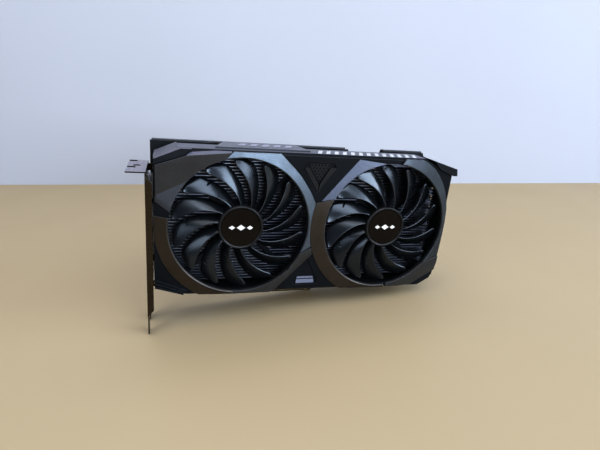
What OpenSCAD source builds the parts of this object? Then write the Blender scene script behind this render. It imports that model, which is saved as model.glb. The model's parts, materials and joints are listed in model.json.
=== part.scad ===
// Dual-fan graphics card with a two-slot bracket.
// X runs along the card away from the bracket, Z is up with the edge connector below,
// and the fans face -Y. The origin is on the bracket's outer face, at its middle.

/* [Bracket] */
// Full height of the bracket, from the tab's top to the tongue tips
bracket_h = 120.02; // [120.02:0.01:120.02]
// Width of the two-slot bracket
bracket_w = 38.74; // [38.74:0.01:38.74]
// Sheet thickness of the bracket
bracket_t = 0.86; // [0.8:0.02:1.0]
// How far the screw tab stands out behind the computer case
tab_d = 11.43; // [11.43:0.01:11.43]
// Distance between two expansion slots
slot_pitch = 20.32; // [20.32:0.01:20.32]

/* [Card] */
// Length from the bracket's outer face to the far end of the shroud
card_l = 223; // [221:0.5:226]
// Height of the card's top edge above the tab
top_rise = 15.6; // [14:0.1:17]
// Thickness of the circuit board
board_t = 1.57; // [1.5:0.01:1.6]
// Where the edge connector begins, from the bracket's outer face
edge_x = 44.5; // [40:0.5:48]

/* [Fans] */
// Left fan's axis, from the bracket's outer face
fan_x = 61.9; // [60:0.1:64]
// Distance between the two fan axes
fan_pitch = 109.5; // [108:0.1:111]
// Depth of the fan axes below the tab's top
fan_drop = 37.2; // [36:0.1:38]
// Radius of the opening around each fan
opening_r = 48.1; // [47.6:0.1:48.4]
// Radius to the blade tips
rotor_r = 46.7; // [45:0.1:47]
// Radius of the hub
hub_r = 15.8; // [15:0.1:16.5]
// Number of blades on each fan
blade_count = 14; // [11:1:15]
// Angle that a blade sweeps from root to tip
blade_sweep = 32; // [24:1:38]

/* [Hidden] */
$fn = 64;
eps = 0.01;

// Planes of the stack, front (fans, -Y) to back (+Y)
near_y = -bracket_w / 2;
far_y = bracket_w / 2;
bezel_y = near_y + 0.1;
shroud_y = near_y + 2.5;
wall = 2.2;
fan_y = near_y + 0.55;
blade_back_y = fan_y + 9.6;
frame_y = blade_back_y + 0.7;
frame_t = 1.4;
fin_y0 = -5.6;
fin_y1 = 9.4;
plate_y1 = 13.4;
board_y1 = far_y - 1.63;
board_y0 = board_y1 - board_t;
backplate_y0 = far_y + 1.5;
backplate_t = 1.2;

// Heights
tab_z = bracket_h / 2;
tongue_z = -bracket_h / 2;
fold_z = tab_z - 1.4;
top_z = tab_z + top_rise;
fan_z = tab_z - fan_drop;
rise = top_z - fan_z;
drop = 50.8;
board_z0 = -37;
finger_z = -46.2;
right_x = fan_x + fan_pitch;

// Outline of the shroud from the front: X, and height from the fan axes
outline = [[4.9, -45], [4.9, 46.5], [19.5, rise], [198, rise], [card_l, rise - 10.6],
    [card_l, -38], [card_l - 3.5, -45], [210, -drop], [27, -drop]];

// Display sockets, from the top of the bracket down
socket_pitch = 21.5;
socket_z0 = 43.5;
socket_y = board_y0 - 2.85;

// Graphics processor and what surrounds it
gpu_x = 97;
gpu_z = 17;
gpu_w = 37;
memory_w = 12;
memory_l = 14;
memory_t = 1.1;
pipe_r = 3;
pipe_z = [-20, -7, 7, 20];
screw_dx = 22;
screw_dz = 30;
ear_z = [56, -33];
post_at = [[14, 62], [17.5, -20], [216, 56], [214, -19]];
part_h = 3.6;

// Notch in the board's top edge for the power socket
notch_x0 = 150;
notch_x1 = 176;
notch_z = top_z - 9.5;

function shrunk(points, t) =
    let(lo = [min([for (p = points) p[0]]), min([for (p = points) p[1]])])
    let(hi = [max([for (p = points) p[0]]), max([for (p = points) p[1]])])
    let(mid = (lo + hi) / 2, k = [for (i = [0, 1]) 1 - 2 * t / (hi[i] - lo[i])])
    [for (p = points) [for (i = [0, 1]) mid[i] + (p[i] - mid[i]) * k[i]]];

// A plate whose outline is drawn from the front, between two depths
module slab(y0, y1) {
    translate([0, y1, 0]) rotate([90, 0, 0]) linear_extrude(y1 - y0) children();
}

// The same, with heights counted from the fan axes
module fan_slab(y0, y1) {
    translate([0, 0, fan_z]) slab(y0, y1) children();
}

// A round bar or hole along Y
module rod_y(x, z, r, y0, y1) {
    translate([x, y0, z]) rotate([-90, 0, 0]) cylinder(h = y1 - y0, r = r);
}

// A tube along Y
module tube_y(x, z, r_in, r_out, y0, y1) {
    difference() {
        rod_y(x, z, r_out, y0, y1);
        rod_y(x, z, r_in, y0 - 1, y1 + 1);
    }
}

// A box from its lowest corner to its highest
module span(lo, hi) {
    translate(lo) cube(hi - lo);
}

// Everything on the outer side of a plane, for cutting facets
module beyond(point, normal) {
    n = normal / norm(normal);
    translate(point) rotate([0, acos(n[2]), atan2(n[1], n[0])])
        translate([-90, -90, 0]) cube([180, 180, 60]);
}

// A point on the front, from X, depth and height above the fan axes
function front(x, y, w) = [x, y, fan_z + w];

// ---------------------------------------------------------------- bracket

module socket_hole(z, w, l) {
    span([-1, socket_y - w / 2, z - l / 2], [2, socket_y + w / 2, z + l / 2]);
}

module io_bracket() {
    tongue_w = 10.19;
    flange_d = 4.2;
    color("#17171a") difference() {
        union() {
            span([0, near_y, -42], [bracket_t, far_y, fold_z]);
            for (y = [far_y - 9.2, far_y - 9.2 - slot_pitch]) {
                span([0, y - tongue_w / 2, tongue_z + 3], [bracket_t, y + tongue_w / 2, -42]);
                slab_x(y, tongue_w);
            }
            difference() {
                span([0, near_y, -42], [flange_d, near_y + bracket_t, tab_z - 4]);
                beyond([flange_d, near_y, -38], [1, 0, -1]);
                beyond([flange_d, near_y, tab_z - 7], [1, 0, 1]);
            }
            for (z = ear_z) {
                span([0, board_y0 - 1, z - 2.5], [9.5, board_y0, z + 2.5]);
            }
        }
        for (i = [0:2]) {
            socket_hole(socket_z0 - i * socket_pitch, 6.0, 17.4);
        }
        socket_hole(socket_z0 - 3 * socket_pitch, 6.0, 16.2);
        vent_row(5, 50);
        vent_row(-37, -5);
        for (z = ear_z) {
            rod_y(6, z, 1.6, board_y0 - 3, board_y0 + 1);
        }
    }
}

// Folded top of the bracket, with a screw slot for each expansion slot
module bracket_tab() {
    slot_r = 2.2;
    slot_x = 3.2 - tab_d;
    color("#8a8c90") difference() {
        union() {
            span([-tab_d, near_y + 0.6, tab_z - bracket_t], [bracket_t, far_y - 1.4, tab_z]);
            span([0, near_y + 0.6, fold_z], [bracket_t, far_y - 1.4, tab_z]);
        }
        for (y = [far_y - 3.9, far_y - 3.9 - slot_pitch]) {
            translate([slot_x, y, tab_z - 2]) cylinder(h = 4, r = slot_r);
            span([-tab_d - 1, y - slot_r, tab_z - 2], [slot_x, y + slot_r, tab_z + 2]);
        }
        translate([-tab_d / 2, 0.8, tab_z - 2]) cylinder(h = 4, r = slot_r);
    }
}

// Rounded end of a bracket tongue
module slab_x(y, w) {
    translate([0, y, tongue_z + 3]) rotate([90, 0, 90]) linear_extrude(bracket_t)
        polygon([[-w / 2, 0], [-w / 2 + 1.6, -3], [w / 2 - 1.6, -3], [w / 2, 0]]);
}

// Slanted cooling slots in the bracket between two heights
module vent_row(z0, z1) {
    slant = 3;
    for (y = [-15.5, -10.6, -5.7, -0.8]) {
        translate([-1, y, 0]) rotate([90, 0, 90]) linear_extrude(3)
            polygon([[0, z0], [3.2, z0 + slant], [3.2, z1], [0, z1 - slant]]);
    }
}

module bracket_screws() {
    color("silver") for (z = ear_z) {
        rod_y(6, z, 1.45, board_y0 - 1, board_y1 + 1.2);
        screw_head(6, z, 2.6, board_y0 - 2.6, board_y0 - 1);
    }
}

// A screw head with a cross recess facing -Y
module screw_head(x, z, r, y0, y1) {
    difference() {
        rod_y(x, z, r, y0, y1);
        span([x - r * 0.6, y0 - 1, z - 0.35], [x + r * 0.6, y0 + 0.7, z + 0.35]);
        span([x - 0.35, y0 - 1, z - r * 0.6], [x + 0.35, y0 + 0.7, z + r * 0.6]);
    }
}

// ---------------------------------------------------------------- circuit board

board_outline = [[2, board_z0], [edge_x - 4, board_z0], [edge_x, board_z0 - 4],
    [edge_x, finger_z + 1], [edge_x + 1, finger_z], [edge_x + 11.65, finger_z],
    [edge_x + 11.65, board_z0 - 3.5], [edge_x + 13.55, board_z0 - 3.5],
    [edge_x + 13.55, finger_z], [edge_x + 84.2, finger_z], [edge_x + 85.2, finger_z + 1],
    [edge_x + 85.2, board_z0 - 4], [edge_x + 87.2, board_z0 - 4], [edge_x + 87.2, finger_z + 3],
    [edge_x + 91.2, finger_z + 3], [edge_x + 93.2, board_z0 - 5], [edge_x + 93.2, board_z0],
    [219, board_z0], [219, 60], [214, top_z - 1], [notch_x1 + 2, top_z - 1],
    [notch_x1, notch_z], [notch_x0, notch_z], [notch_x0 - 2, top_z - 1], [2, top_z - 1]];

backplate_holes = [[14, 68], [14, -30], [62, 70], [140, 70], [140, -31], [208, 62], [208, -30]];

module circuit_board() {
    color("#15181a") difference() {
        slab(board_y0, board_y1) polygon(board_outline);
        for (p = backplate_holes) {
            rod_y(p[0], p[1], 1.4, board_y0 - 1, board_y1 + 1);
        }
        for (p = post_at) {
            rod_y(p[0], p[1], 1, board_y0 - 1, board_y1 + 1);
        }
        for (sx = [-1, 1], sz = [-1, 1]) {
            rod_y(gpu_x + sx * screw_dx, gpu_z + sz * screw_dz, 1.6, board_y0 - 1,
                board_y1 + 1);
        }
        for (z = ear_z) {
            rod_y(6, z, 1.6, board_y0 - 1, board_y1 + 1);
        }
    }
}

module edge_contacts() {
    pad_t = 0.05;
    color("gold") for (i = [0:81]) {
        x = edge_x + (i < 11 ? 0.8 + i : 2.9 + i);
        for (y = [board_y0 - pad_t, board_y1]) {
            span([x - 0.35, y, finger_z + 0.9], [x + 0.35, y + pad_t, finger_z + 6]);
        }
    }
}

module gpu_substrate() {
    color("#1f3a26") span([gpu_x - gpu_w / 2, board_y0 - 1.2, gpu_z - gpu_w / 2],
        [gpu_x + gpu_w / 2, board_y0, gpu_z + gpu_w / 2]);
}

module gpu_die() {
    color("#6d7480") span([gpu_x - 9, board_y0 - 2.0, gpu_z - 10],
        [gpu_x + 9, board_y0 - 1.2, gpu_z + 10]);
}

module thermal_paste() {
    color("#a0a0a0") span([gpu_x - 8.6, board_y0 - 2.1, gpu_z - 9.6],
        [gpu_x + 8.6, board_y0 - 2.0, gpu_z + 9.6]);
}

// Middles of the memory packages, in a column on each side of the processor
memory_at = [for (z = [-13, 3, 19]) [gpu_x - 30, gpu_z + z],
    for (z = [-13, 3, 19]) [gpu_x + 30, gpu_z + z]];

module memory_chips() {
    color("#1b1b1b") for (p = memory_at) {
        span([p[0] - memory_w / 2, board_y0 - memory_t, p[1] - memory_l / 2],
            [p[0] + memory_w / 2, board_y0, p[1] + memory_l / 2]);
    }
}

module memory_pads() {
    color("#9aa4b8") for (p = memory_at) {
        span([p[0] - memory_w / 2, plate_y1, p[1] - memory_l / 2 + 1],
            [p[0] + memory_w / 2, board_y0 - memory_t, p[1] + memory_l / 2 - 1]);
    }
}

module power_chokes() {
    color("#3a3c40") for (z = [-22:11.5:47], x = [26, 162]) {
        span([x - 4, board_y0 - part_h, z - 4], [x + 4, board_y0, z + 4]);
    }
}

module power_stages() {
    color("#161616") for (z = [-22:11.5:47], x = [35.5, 171.5]) {
        span([x - 2.5, board_y0 - 0.9, z - 3], [x + 2.5, board_y0, z + 3]);
    }
}

module capacitors() {
    color("#b9bcc2") for (z = [-22:11.5:47], x = [43.5, 179]) {
        rod_y(x, z, 3.1, board_y0 - part_h, board_y0 - 0.8);
        span([x - 3.2, board_y0 - 0.8, z - 3.2], [x + 3.2, board_y0, z + 3.2]);
    }
}

// A sheet-metal socket shell along X, open at its front
module socket_shell(z, w, l, depth) {
    difference() {
        span([0.15, socket_y - w / 2, z - l / 2], [depth, socket_y + w / 2, z + l / 2]);
        span([-1, socket_y - w / 2 + 0.4, z - l / 2 + 0.4],
            [depth - 1.5, socket_y + w / 2 - 0.4, z + l / 2 - 0.4]);
    }
}

module displayport_shells() {
    color("#c8cacf") for (i = [0:2]) {
        socket_shell(socket_z0 - i * socket_pitch, 5.7, 17.0, 17);
    }
}

module hdmi_shell() {
    color("#c8cacf") socket_shell(socket_z0 - 3 * socket_pitch, 5.7, 15.8, 12.5);
}

module display_tongues() {
    color("#101010") for (i = [0:3]) {
        z = socket_z0 - i * socket_pitch;
        depth = i < 3 ? 15.5 : 11;
        span([2.2, socket_y + 0.1, z - 6], [depth, socket_y + 1.1, z + 6]);
    }
}

module power_socket() {
    cx = (notch_x0 + notch_x1) / 2;
    y0 = board_y0 - 9.6;
    color("#0e0e10") difference() {
        union() {
            span([cx - 9.3, y0, notch_z - 15], [cx + 9.3, y0 + 9.6, notch_z + 1]);
            span([cx - 2, y0 - 1.2, notch_z - 4], [cx + 2, y0, notch_z - 1]);
        }
        for (i = [-1.5:1:1.5], j = [-0.5, 0.5]) {
            x = cx + i * 4.2;
            y = y0 + 4.8 + j * 4.2;
            span([x - 1.75, y - 1.75, notch_z - 10], [x + 1.75, y + 1.75, notch_z + 2]);
        }
    }
}

module power_pins() {
    cx = (notch_x0 + notch_x1) / 2;
    y0 = board_y0 - 9.6;
    color("gold") for (i = [-1.5:1:1.5], j = [-0.5, 0.5]) {
        span([cx + i * 4.2 - 0.5, y0 + 4.3 + j * 4.2, notch_z - 10],
            [cx + i * 4.2 + 0.5, y0 + 5.3 + j * 4.2, notch_z - 2]);
    }
}

cable_reach = 46.1;
header_x = [fan_x + cable_reach, right_x - cable_reach];

module fan_headers() {
    color("#e8e4da") for (x = header_x) {
        difference() {
            span([x - 4.5, board_y0 - part_h, 58], [x + 4.5, board_y0, 62]);
            span([x - 3.8, board_y0 - part_h - 1, 58.6], [x + 3.8, board_y0 - 1.2, 61.4]);
        }
    }
}

// ---------------------------------------------------------------- heatsink

module pipe_bores(r) {
    for (z = pipe_z) {
        translate([0, fin_y1, gpu_z + z]) rotate([0, 90, 0]) cylinder(h = 260, r = r);
    }
}

module cold_plate() {
    color("#b87b4b") difference() {
        union() {
            span([gpu_x - 38, fin_y1, gpu_z - 36], [gpu_x + 38, plate_y1, gpu_z + 36]);
            span([gpu_x - 20, plate_y1, gpu_z - 20], [gpu_x + 20, board_y0 - 2.1, gpu_z + 20]);
            for (sx = [-1, 1], sz = [-1, 1]) {
                rod_y(gpu_x + sx * screw_dx, gpu_z + sz * screw_dz, 3.2, plate_y1 - 1,
                    board_y0);
            }
        }
        pipe_bores(pipe_r);
        for (sx = [-1, 1], sz = [-1, 1]) {
            rod_y(gpu_x + sx * screw_dx, gpu_z + sz * screw_dz, 1.25, plate_y1 - 2,
                board_y0 + 1);
        }
    }
}

module heat_pipes() {
    x0 = 24;
    x1 = 212;
    color("#b56a3c") for (z = pipe_z) {
        translate([x0, fin_y1, gpu_z + z]) {
            rotate([0, 90, 0]) cylinder(h = x1 - x0, r = pipe_r);
            sphere(r = pipe_r);
            translate([x1 - x0, 0, 0]) sphere(r = pipe_r);
        }
    }
}

fin_t = 0.4;
fin_gap = 2.2;
fin_count = 41;

module fin_stack() {
    color("#c9ccd1") difference() {
        intersection() {
            for (i = [0:fin_count - 1]) {
                z = fan_z + (i - (fin_count - 1) / 2) * fin_gap;
                span([10, fin_y0, z - fin_t / 2], [218, fin_y1, z + fin_t / 2]);
            }
            fan_slab(fin_y0 - 1, fin_y1 + 1) polygon(shrunk(outline, 3.5));
        }
        pipe_bores(pipe_r);
        for (p = post_at) {
            rod_y(p[0], p[1], 3.1, fin_y0 - 1, fin_y1 + 1);
        }
        span([notch_x0 - 1, 4.5, notch_z - 17], [notch_x1 + 1, 30, top_z]);
    }
}

module retention_spring() {
    y0 = board_y1 + 0.2;
    color("#9a9da3") difference() {
        union() {
            for (side = [-1, 1]) {
                arm = norm([screw_dx, screw_dz]) + 4;
                translate([gpu_x, y0, gpu_z]) rotate([0, side * atan2(screw_dz, screw_dx), 0])
                    translate([-arm, 0, -4]) cube([2 * arm, 1, 8]);
            }
            rod_y(gpu_x, gpu_z, 13, y0, y0 + 1);
        }
        rod_y(gpu_x, gpu_z, 7, y0 - 1, y0 + 2);
        for (sx = [-1, 1], sz = [-1, 1]) {
            rod_y(gpu_x + sx * screw_dx, gpu_z + sz * screw_dz, 1.6, y0 - 1, y0 + 2);
        }
    }
}

module retention_screws() {
    color("silver") for (sx = [-1, 1], sz = [-1, 1]) {
        x = gpu_x + sx * screw_dx;
        z = gpu_z + sz * screw_dz;
        rod_y(x, z, 1.2, plate_y1 - 1.5, board_y1 + 1.3);
        rod_y(x, z, 2.8, board_y1 + 1.2, board_y1 + 2.4);
    }
}

// ---------------------------------------------------------------- shroud and covers

shroud_back = board_y0 - 1.2;
strip_y = 2.6;
boss_angles = [45, 135, 225, 315];
boss_r = 51.4;

module fan_openings(r, y0, y1) {
    for (x = [fan_x, right_x]) {
        rod_y(x, fan_z, r, y0, y1);
    }
}

// Front wall and edges of the shroud, before its pockets and front bevels
module shroud_body() {
    difference() {
        fan_slab(shroud_y, shroud_back) polygon(outline);
        fan_slab(shroud_y + wall, shroud_back + 1) polygon(shrunk(outline, 2));
        fan_openings(opening_r, shroud_y - 1, shroud_y + wall + 1);
        // The lower wall stops short so that air leaves below
        span([12, fin_y0 + 8, fan_z - drop - 1], [206, shroud_back + 1, fan_z - drop + 6]);
        // The left end is open towards the bracket, under a short sloping roof
        span([0, -11, fan_z - 60], [19.4, shroud_back + 1, fan_z + 44]);
        span([0, 8, fan_z], [19.4, shroud_back + 1, fan_z + 60]);
        for (w = [-32:8:30]) {
            translate([card_l - 5, fin_y0 + 8.6, fan_z + w]) cube([10, 9, 4]);
        }
    }
}

// The part of the shroud that is its top wall
module top_wall_limit() {
    span([19.4, shroud_y + wall, top_z - 2], [card_l, shroud_back + 1, top_z + 1]);
}

module shroud() {
    color("#1d1e21") difference() {
        union() {
            difference() {
                shroud_body();
                top_wall_limit();
            }
            for (x = [fan_x, right_x], a = boss_angles) {
                rod_y(x + boss_r * cos(a), fan_z + boss_r * sin(a), 2.8, shroud_y + wall - eps,
                    frame_y);
            }
        }
        for (x = [fan_x, right_x], a = boss_angles) {
            rod_y(x + boss_r * cos(a), fan_z + boss_r * sin(a), 0.9, frame_y - 4, frame_y + 1);
        }
        front_chamfers();
        emblem_pocket();
        // Recess behind the lower badge
        fan_slab(shroud_y - 1, shroud_y + 0.8)
            polygon([[112.8, -25], [103, -42], [103.5, -46], [121, -46], [121.5, -42]]);
    }
}

// Top wall of the shroud: a strip along the front, deeper under the badge
module shroud_top() {
    color("#1d1e21") intersection() {
        shroud_body();
        top_wall_limit();
        linear_slab(top_z - 3, 4) polygon([[19.4, shroud_y], [19.4, strip_y], [48.5, strip_y],
            [52.5, strip_y + 10.4], [102.5, strip_y + 10.4], [106.5, strip_y], [card_l, strip_y],
            [card_l, shroud_y]]);
    }
}

// Posts that hold the board behind the shroud
module standoffs() {
    color("#2a2b2f") for (p = post_at) {
        difference() {
            rod_y(p[0], p[1], 2.6, shroud_y + wall, board_y0);
            rod_y(p[0], p[1], 0.95, board_y0 - 6, board_y0 + 1);
        }
    }
}

// Bevel around the front edge of the shroud
module front_chamfers() {
    c = 1.6;
    beyond(front(110, shroud_y + c, rise), [0, -1, 1]);
    beyond(front(110, shroud_y + c, -drop), [0, -1, -1]);
    beyond(front(card_l, shroud_y + c, 0), [1, -1, 0]);
    beyond(front(210, shroud_y + c, rise - 5.1), [10.6, -24, 25]);
    beyond(front(12, shroud_y + c, 49.6), [-6.3, -14, 14.6]);
}

// The funnel-shaped surface around a fan opening, proud of the shroud's front
module bezel_ring(x, r_out, h_in, slope) {
    h_out = h_in - slope * (r_out - opening_r);
    translate([x, shroud_y, fan_z]) rotate([90, 0, 0]) rotate_extrude($fn = 128)
        polygon([[opening_r, 0], [r_out, 0], [r_out, h_out], [opening_r + 0.7, h_in],
            [opening_r, h_in - 0.7]]);
}

bezel_h = shroud_y - bezel_y;

module upper_left_panel() {
    y = bezel_y + 0.5;
    color("#2c2c2f") difference() {
        fan_slab(y, shroud_y) polygon([[5.6, 9], [5.6, 41.6], [24.4, 48], [29, rise - 0.6],
            [53.5, rise - 0.6], [fan_x, 40], [fan_x, 9]]);
        rod_y(fan_x, fan_z, opening_r, y - 1, shroud_y + 1);
        left_upper_limit(y - 1);
        beyond(front(26, y, 48.6), [-3, -29.6, 29.6]);
        beyond(front(6.5, y, 21.5), [-8, -24, -10]);
        beyond(front(5.6, y + 0.8, 30), [-1, -1, 0]);
    }
}

// Room taken by the upper bezel of the left fan
module left_upper_limit(y) {
    fan_slab(y, shroud_y + 1) polygon([[48.6, 46], [54.9, rise - 0.2], [130, 60], [130, 0],
        [fan_x, 0]]);
}

module left_upper_bezel() {
    color("#454a54") intersection() {
        difference() {
            bezel_ring(fan_x, 58, bezel_h, 0.17);
            rod_y(right_x, fan_z, 59.5, near_y - 1, 0);
            beyond(front(90, 0, rise - 0.6), [0, 0, 1]);
        }
        fan_slab(near_y - 1, 0) polygon([[49.2, 46.6], [55.4, rise], [86, rise], [91, 47.9],
            [97.2, 42], [102.2, 36.9], [106, 31.6], [109.7, 26.4], [114.6, 17.5], [114.5, 0],
            [114.5, -14.6], [103.9, -20.8], [101, -21.5], [fan_x, 10]]);
    }
}

module left_lower_bezel() {
    color("#34302d") intersection() {
        difference() {
            bezel_ring(fan_x, 57.4, bezel_h, 0.17);
            beyond(front(50, 0, -drop + 0.5), [0, 0, -1]);
        }
        fan_slab(near_y - 1, 0) polygon([[fan_x, 0], [5, 8.2], [0, -20], [0, -60], [57, -60]]);
    }
}

// Straight-sided bar that rises from the bottom edge to the point between the fans
module centre_bar() {
    y = bezel_y + 0.2;
    color("#3a3a3e") difference() {
        fan_slab(y, shroud_y) polygon([[58, -drop + 0.5], [58, -48], [98, -33], [103.7, -21.4],
            [114.7, -15.2], [116.8, -17.6], [116.2, -21], [100.4, -37.4], [88, -drop + 0.5]]);
        rod_y(fan_x, fan_z, opening_r, y - 1, shroud_y + 1);
        rod_y(right_x, fan_z, 59.5, y - 1, shroud_y + 1);
        beyond(front(108, y, -25.6), [17, -44, -16]);
    }
}

module right_upper_facet() {
    y = bezel_y + 0.2;
    color("#4a505b") difference() {
        fan_slab(y, shroud_y) polygon([[115.4, 18.3], [142.4, rise - 0.6], [179.5, rise - 0.6],
            [176.3, 47.6], [170, 30], [127.6, 21.4]]);
        rod_y(right_x, fan_z, opening_r, y - 1, shroud_y + 1);
        beyond(front(134, y + 0.4, 31), [-33, -105, 27]);
        beyond(front(158, y, 45.5), [1, -14, 9]);
    }
}

module right_upper_bezel() {
    color("#3d414a") intersection() {
        difference() {
            bezel_ring(right_x, 57, bezel_h, 0.17);
            beyond(front(190, 0, rise - 0.6), [0, 0, 1]);
            beyond(front(card_l - 0.4, 0, 0), [1, 0, 0]);
        }
        fan_slab(near_y - 1, 0) polygon([[176.6, 47.4], [181, rise], [199, rise], [204, 47.5],
            [209.7, 41.7], [214.2, 35.8], [217.9, 28.8], [220.4, 21.5], [222, 14.5], [222.6, 3],
            [222.6, -24.6], [210.2, -29.6], [right_x, 0]]);
    }
}

module right_lower_bezel() {
    color("#34302d") intersection() {
        difference() {
            bezel_ring(right_x, 59.1, bezel_h, 0.15);
            beyond(front(150, 0, -drop + 0.5), [0, 0, -1]);
        }
        fan_slab(near_y - 1, 0) polygon([[right_x, 0], [127.6, 21.3], [110, 16.8], [105, -20],
            [120, -60], [179, -60]]);
    }
}

module lower_right_panel() {
    y = bezel_y + 0.5;
    color("#2f2d31") difference() {
        fan_slab(y, shroud_y) polygon([[179.4, -drop + 0.5], [180, -45], [200, -38],
            [209.8, -30.2], [card_l - 0.4, -24.9], [card_l - 0.4, -37.6], [card_l - 3.6, -44],
            [210, -drop + 0.5]]);
        rod_y(right_x, fan_z, opening_r, y - 1, shroud_y + 1);
        beyond(front(206, y + 0.1, -41), [10, -64, -16]);
    }
}

// Dark cover plates at the upper corners and the ribbed strip at the lower left
module corner_plates() {
    y = bezel_y + 0.9;
    color("#24262a") {
        difference() {
            fan_slab(y, shroud_y + 1.6) polygon([[5.2, 42.2], [5.2, 46.4], [19.6, rise - 0.1],
                [28.4, rise - 0.1], [24, 48.6]]);
            beyond(front(5, y + 0.6, 46), [-6.3, -16, 14.6]);
            shroud_front();
        }
        difference() {
            fan_slab(y, 4) polygon([[199.5, rise + 0.3], [card_l + 1.6, rise - 6.6],
                [card_l + 2.6, rise - 11.8], [card_l - 0.6, rise - 11.9], [209.8, rise - 7.2],
                [204, rise - 1.4]]);
            fan_slab(shroud_y, 5) polygon(outline);
        }
        for (i = [0:2]) {
            fan_slab(shroud_y - 0.9, shroud_y) polygon([[5.3, -37.6 - 2.6 * i],
                [26 - i, -46.6 - 1.4 * i], [26 - i, -47.5 - 1.4 * i], [5.3, -39.2 - 2.6 * i]]);
        }
    }
}

// The shroud's bevelled front as a solid, for fitting plates against it
module shroud_front() {
    difference() {
        fan_slab(shroud_y, 5) polygon(outline);
        front_chamfers();
    }
}

module emblem_pocket() {
    fan_slab(shroud_y - 1, shroud_y + 1.2) polygon([[104.6, 46.6], [125.4, 46.6], [127.4, 43.6],
        [114.8, 25.4], [103.2, 43.6]]);
}

// Downward-pointing frame of two arms around a perforated field
module centre_emblem() {
    y0 = shroud_y - 0.5;
    y1 = shroud_y + 1.2;
    color("#33333a") {
        fan_slab(y0, y1) polygon([[103.6, 43.4], [107.4, 43.4], [115.4, 30.6], [114.9, 25.9]]);
        fan_slab(y0, y1) polygon([[127, 43.4], [122.6, 43.4], [116.2, 32.2], [115.5, 27]]);
        difference() {
            fan_slab(y1 - 0.5, y1) polygon([[108.2, 46.2], [122.4, 46.2], [122.2, 44],
                [115.6, 32.8], [108.2, 44]]);
            for (i = [0:5], j = [0:5]) {
                rod_y(109.4 + 2.4 * i + 1.2 * (j % 2), fan_z + 45 - 2.1 * j, 0.75, y1 - 2, y1 + 1);
            }
        }
    }
}

module lower_badge() {
    y0 = shroud_y - 0.1;
    y1 = shroud_y + 0.8;
    color("#8d90a8") {
        fan_slab(y0, y1) polygon([[105.9, -39.6], [118.3, -39.6], [118.8, -41], [105.6, -41]]);
        fan_slab(y0, y1) polygon([[105.5, -41.8], [119, -41.8], [119.6, -45], [105, -45]]);
    }
}

module top_badge() {
    color("#3b3d42") {
        linear_slab(top_z, 1.0) polygon([[43.7, -10.4], [109, -10.4], [103.5, 12.4], [51, 12.4]]);
    }
    color("#c8cad0") for (i = [0:4]) {
        x = 58.5 + 8.2 * i;
        linear_slab(top_z + 1, 0.3) polygon([[x, -4], [x + 4.6, -4], [x + 8.6, 5], [x + 4, 5]]);
    }
}

// A plate whose outline is drawn from above
module linear_slab(z, h) {
    translate([0, 0, z]) linear_extrude(h) children();
}

// Row of plain slashes along the top edge
module top_stripes() {
    color("#d8dade") for (i = [0:12]) {
        x = 113 + 6.2 * i;
        linear_slab(top_z, 0.3) polygon([[x, -14.4], [x + 3, -14.4], [x + 7, -4], [x + 4, -4]]);
    }
}

module shroud_screws() {
    color("#303030") for (p = post_at) {
        rod_y(p[0], p[1], 0.9, board_y0 - 5, board_y1 + 0.1);
        rod_y(p[0], p[1], 2.3, board_y1, board_y1 + 1.5);
    }
}

module backplate() {
    y1 = backplate_y0 + backplate_t;
    color("#131416") difference() {
        union() {
            slab(backplate_y0, y1) polygon([[3, board_z0], [219.5, board_z0],
                [card_l - 1, board_z0 + 4], [card_l - 1, 60], [215, top_z - 0.4],
                [notch_x1 + 2, top_z - 0.4], [notch_x1, notch_z], [notch_x0, notch_z],
                [notch_x0 - 3, top_z - 0.4], [3, top_z - 0.4]]);
            span([3, backplate_y0 - 2, top_z - 1.4], [notch_x0 - 4, y1, top_z - 0.4]);
            span([notch_x1 + 3, backplate_y0 - 2, top_z - 1.4], [213, y1, top_z - 0.4]);
            for (p = backplate_holes) {
                rod_y(p[0], p[1], 3, board_y1, backplate_y0 + eps);
            }
        }
        for (p = backplate_holes) {
            rod_y(p[0], p[1], 1.4, board_y1 - 1, y1 + 1);
        }
        for (i = [0:8]) {
            x = 150 + 6.4 * i;
            slab(backplate_y0 - 1, y1 + 1)
                polygon([[x, -12], [x + 3.2, -12], [x + 13.2, 40], [x + 10, 40]]);
        }
    }
}

module backplate_screws() {
    y1 = backplate_y0 + backplate_t;
    color("#2a2a2c") for (p = backplate_holes) {
        rod_y(p[0], p[1], 1.25, board_y0 - 1.2, y1 + 0.1);
        translate([0, 2 * y1 + 1, 0]) mirror([0, 1, 0]) screw_head(p[0], p[1], 2.4, y1, y1 + 1);
    }
}

// ---------------------------------------------------------------- fans

// Half-width of a blade, in degrees, at radius r
function blade_half(r) =
    let(k = (r - hub_r) / (rotor_r - hub_r))
    (7.4 + 2.2 * k) * (k > 0.86 ? sqrt(max(0, 1 - pow((k - 0.86) / 0.155, 2))) : 1);

// A point on a blade: radius r, t from 0 at the rear edge to 1 at the front edge
function blade_point(r, t, thick) =
    let(k = (r - hub_r) / (rotor_r - hub_r), a = blade_sweep * k + (2 * t - 1) * blade_half(r))
    let(depth = 7.2 - 2.0 * k, bow = 0.5 * sin(180 * t))
    [r * cos(a), blade_back_y - thick - depth * t - bow, r * sin(a)];

blade_radii = [hub_r - 1, 20, 26, 32, 38, 42.6, 44.8, 46, rotor_r];
blade_steps = 4;

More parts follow.
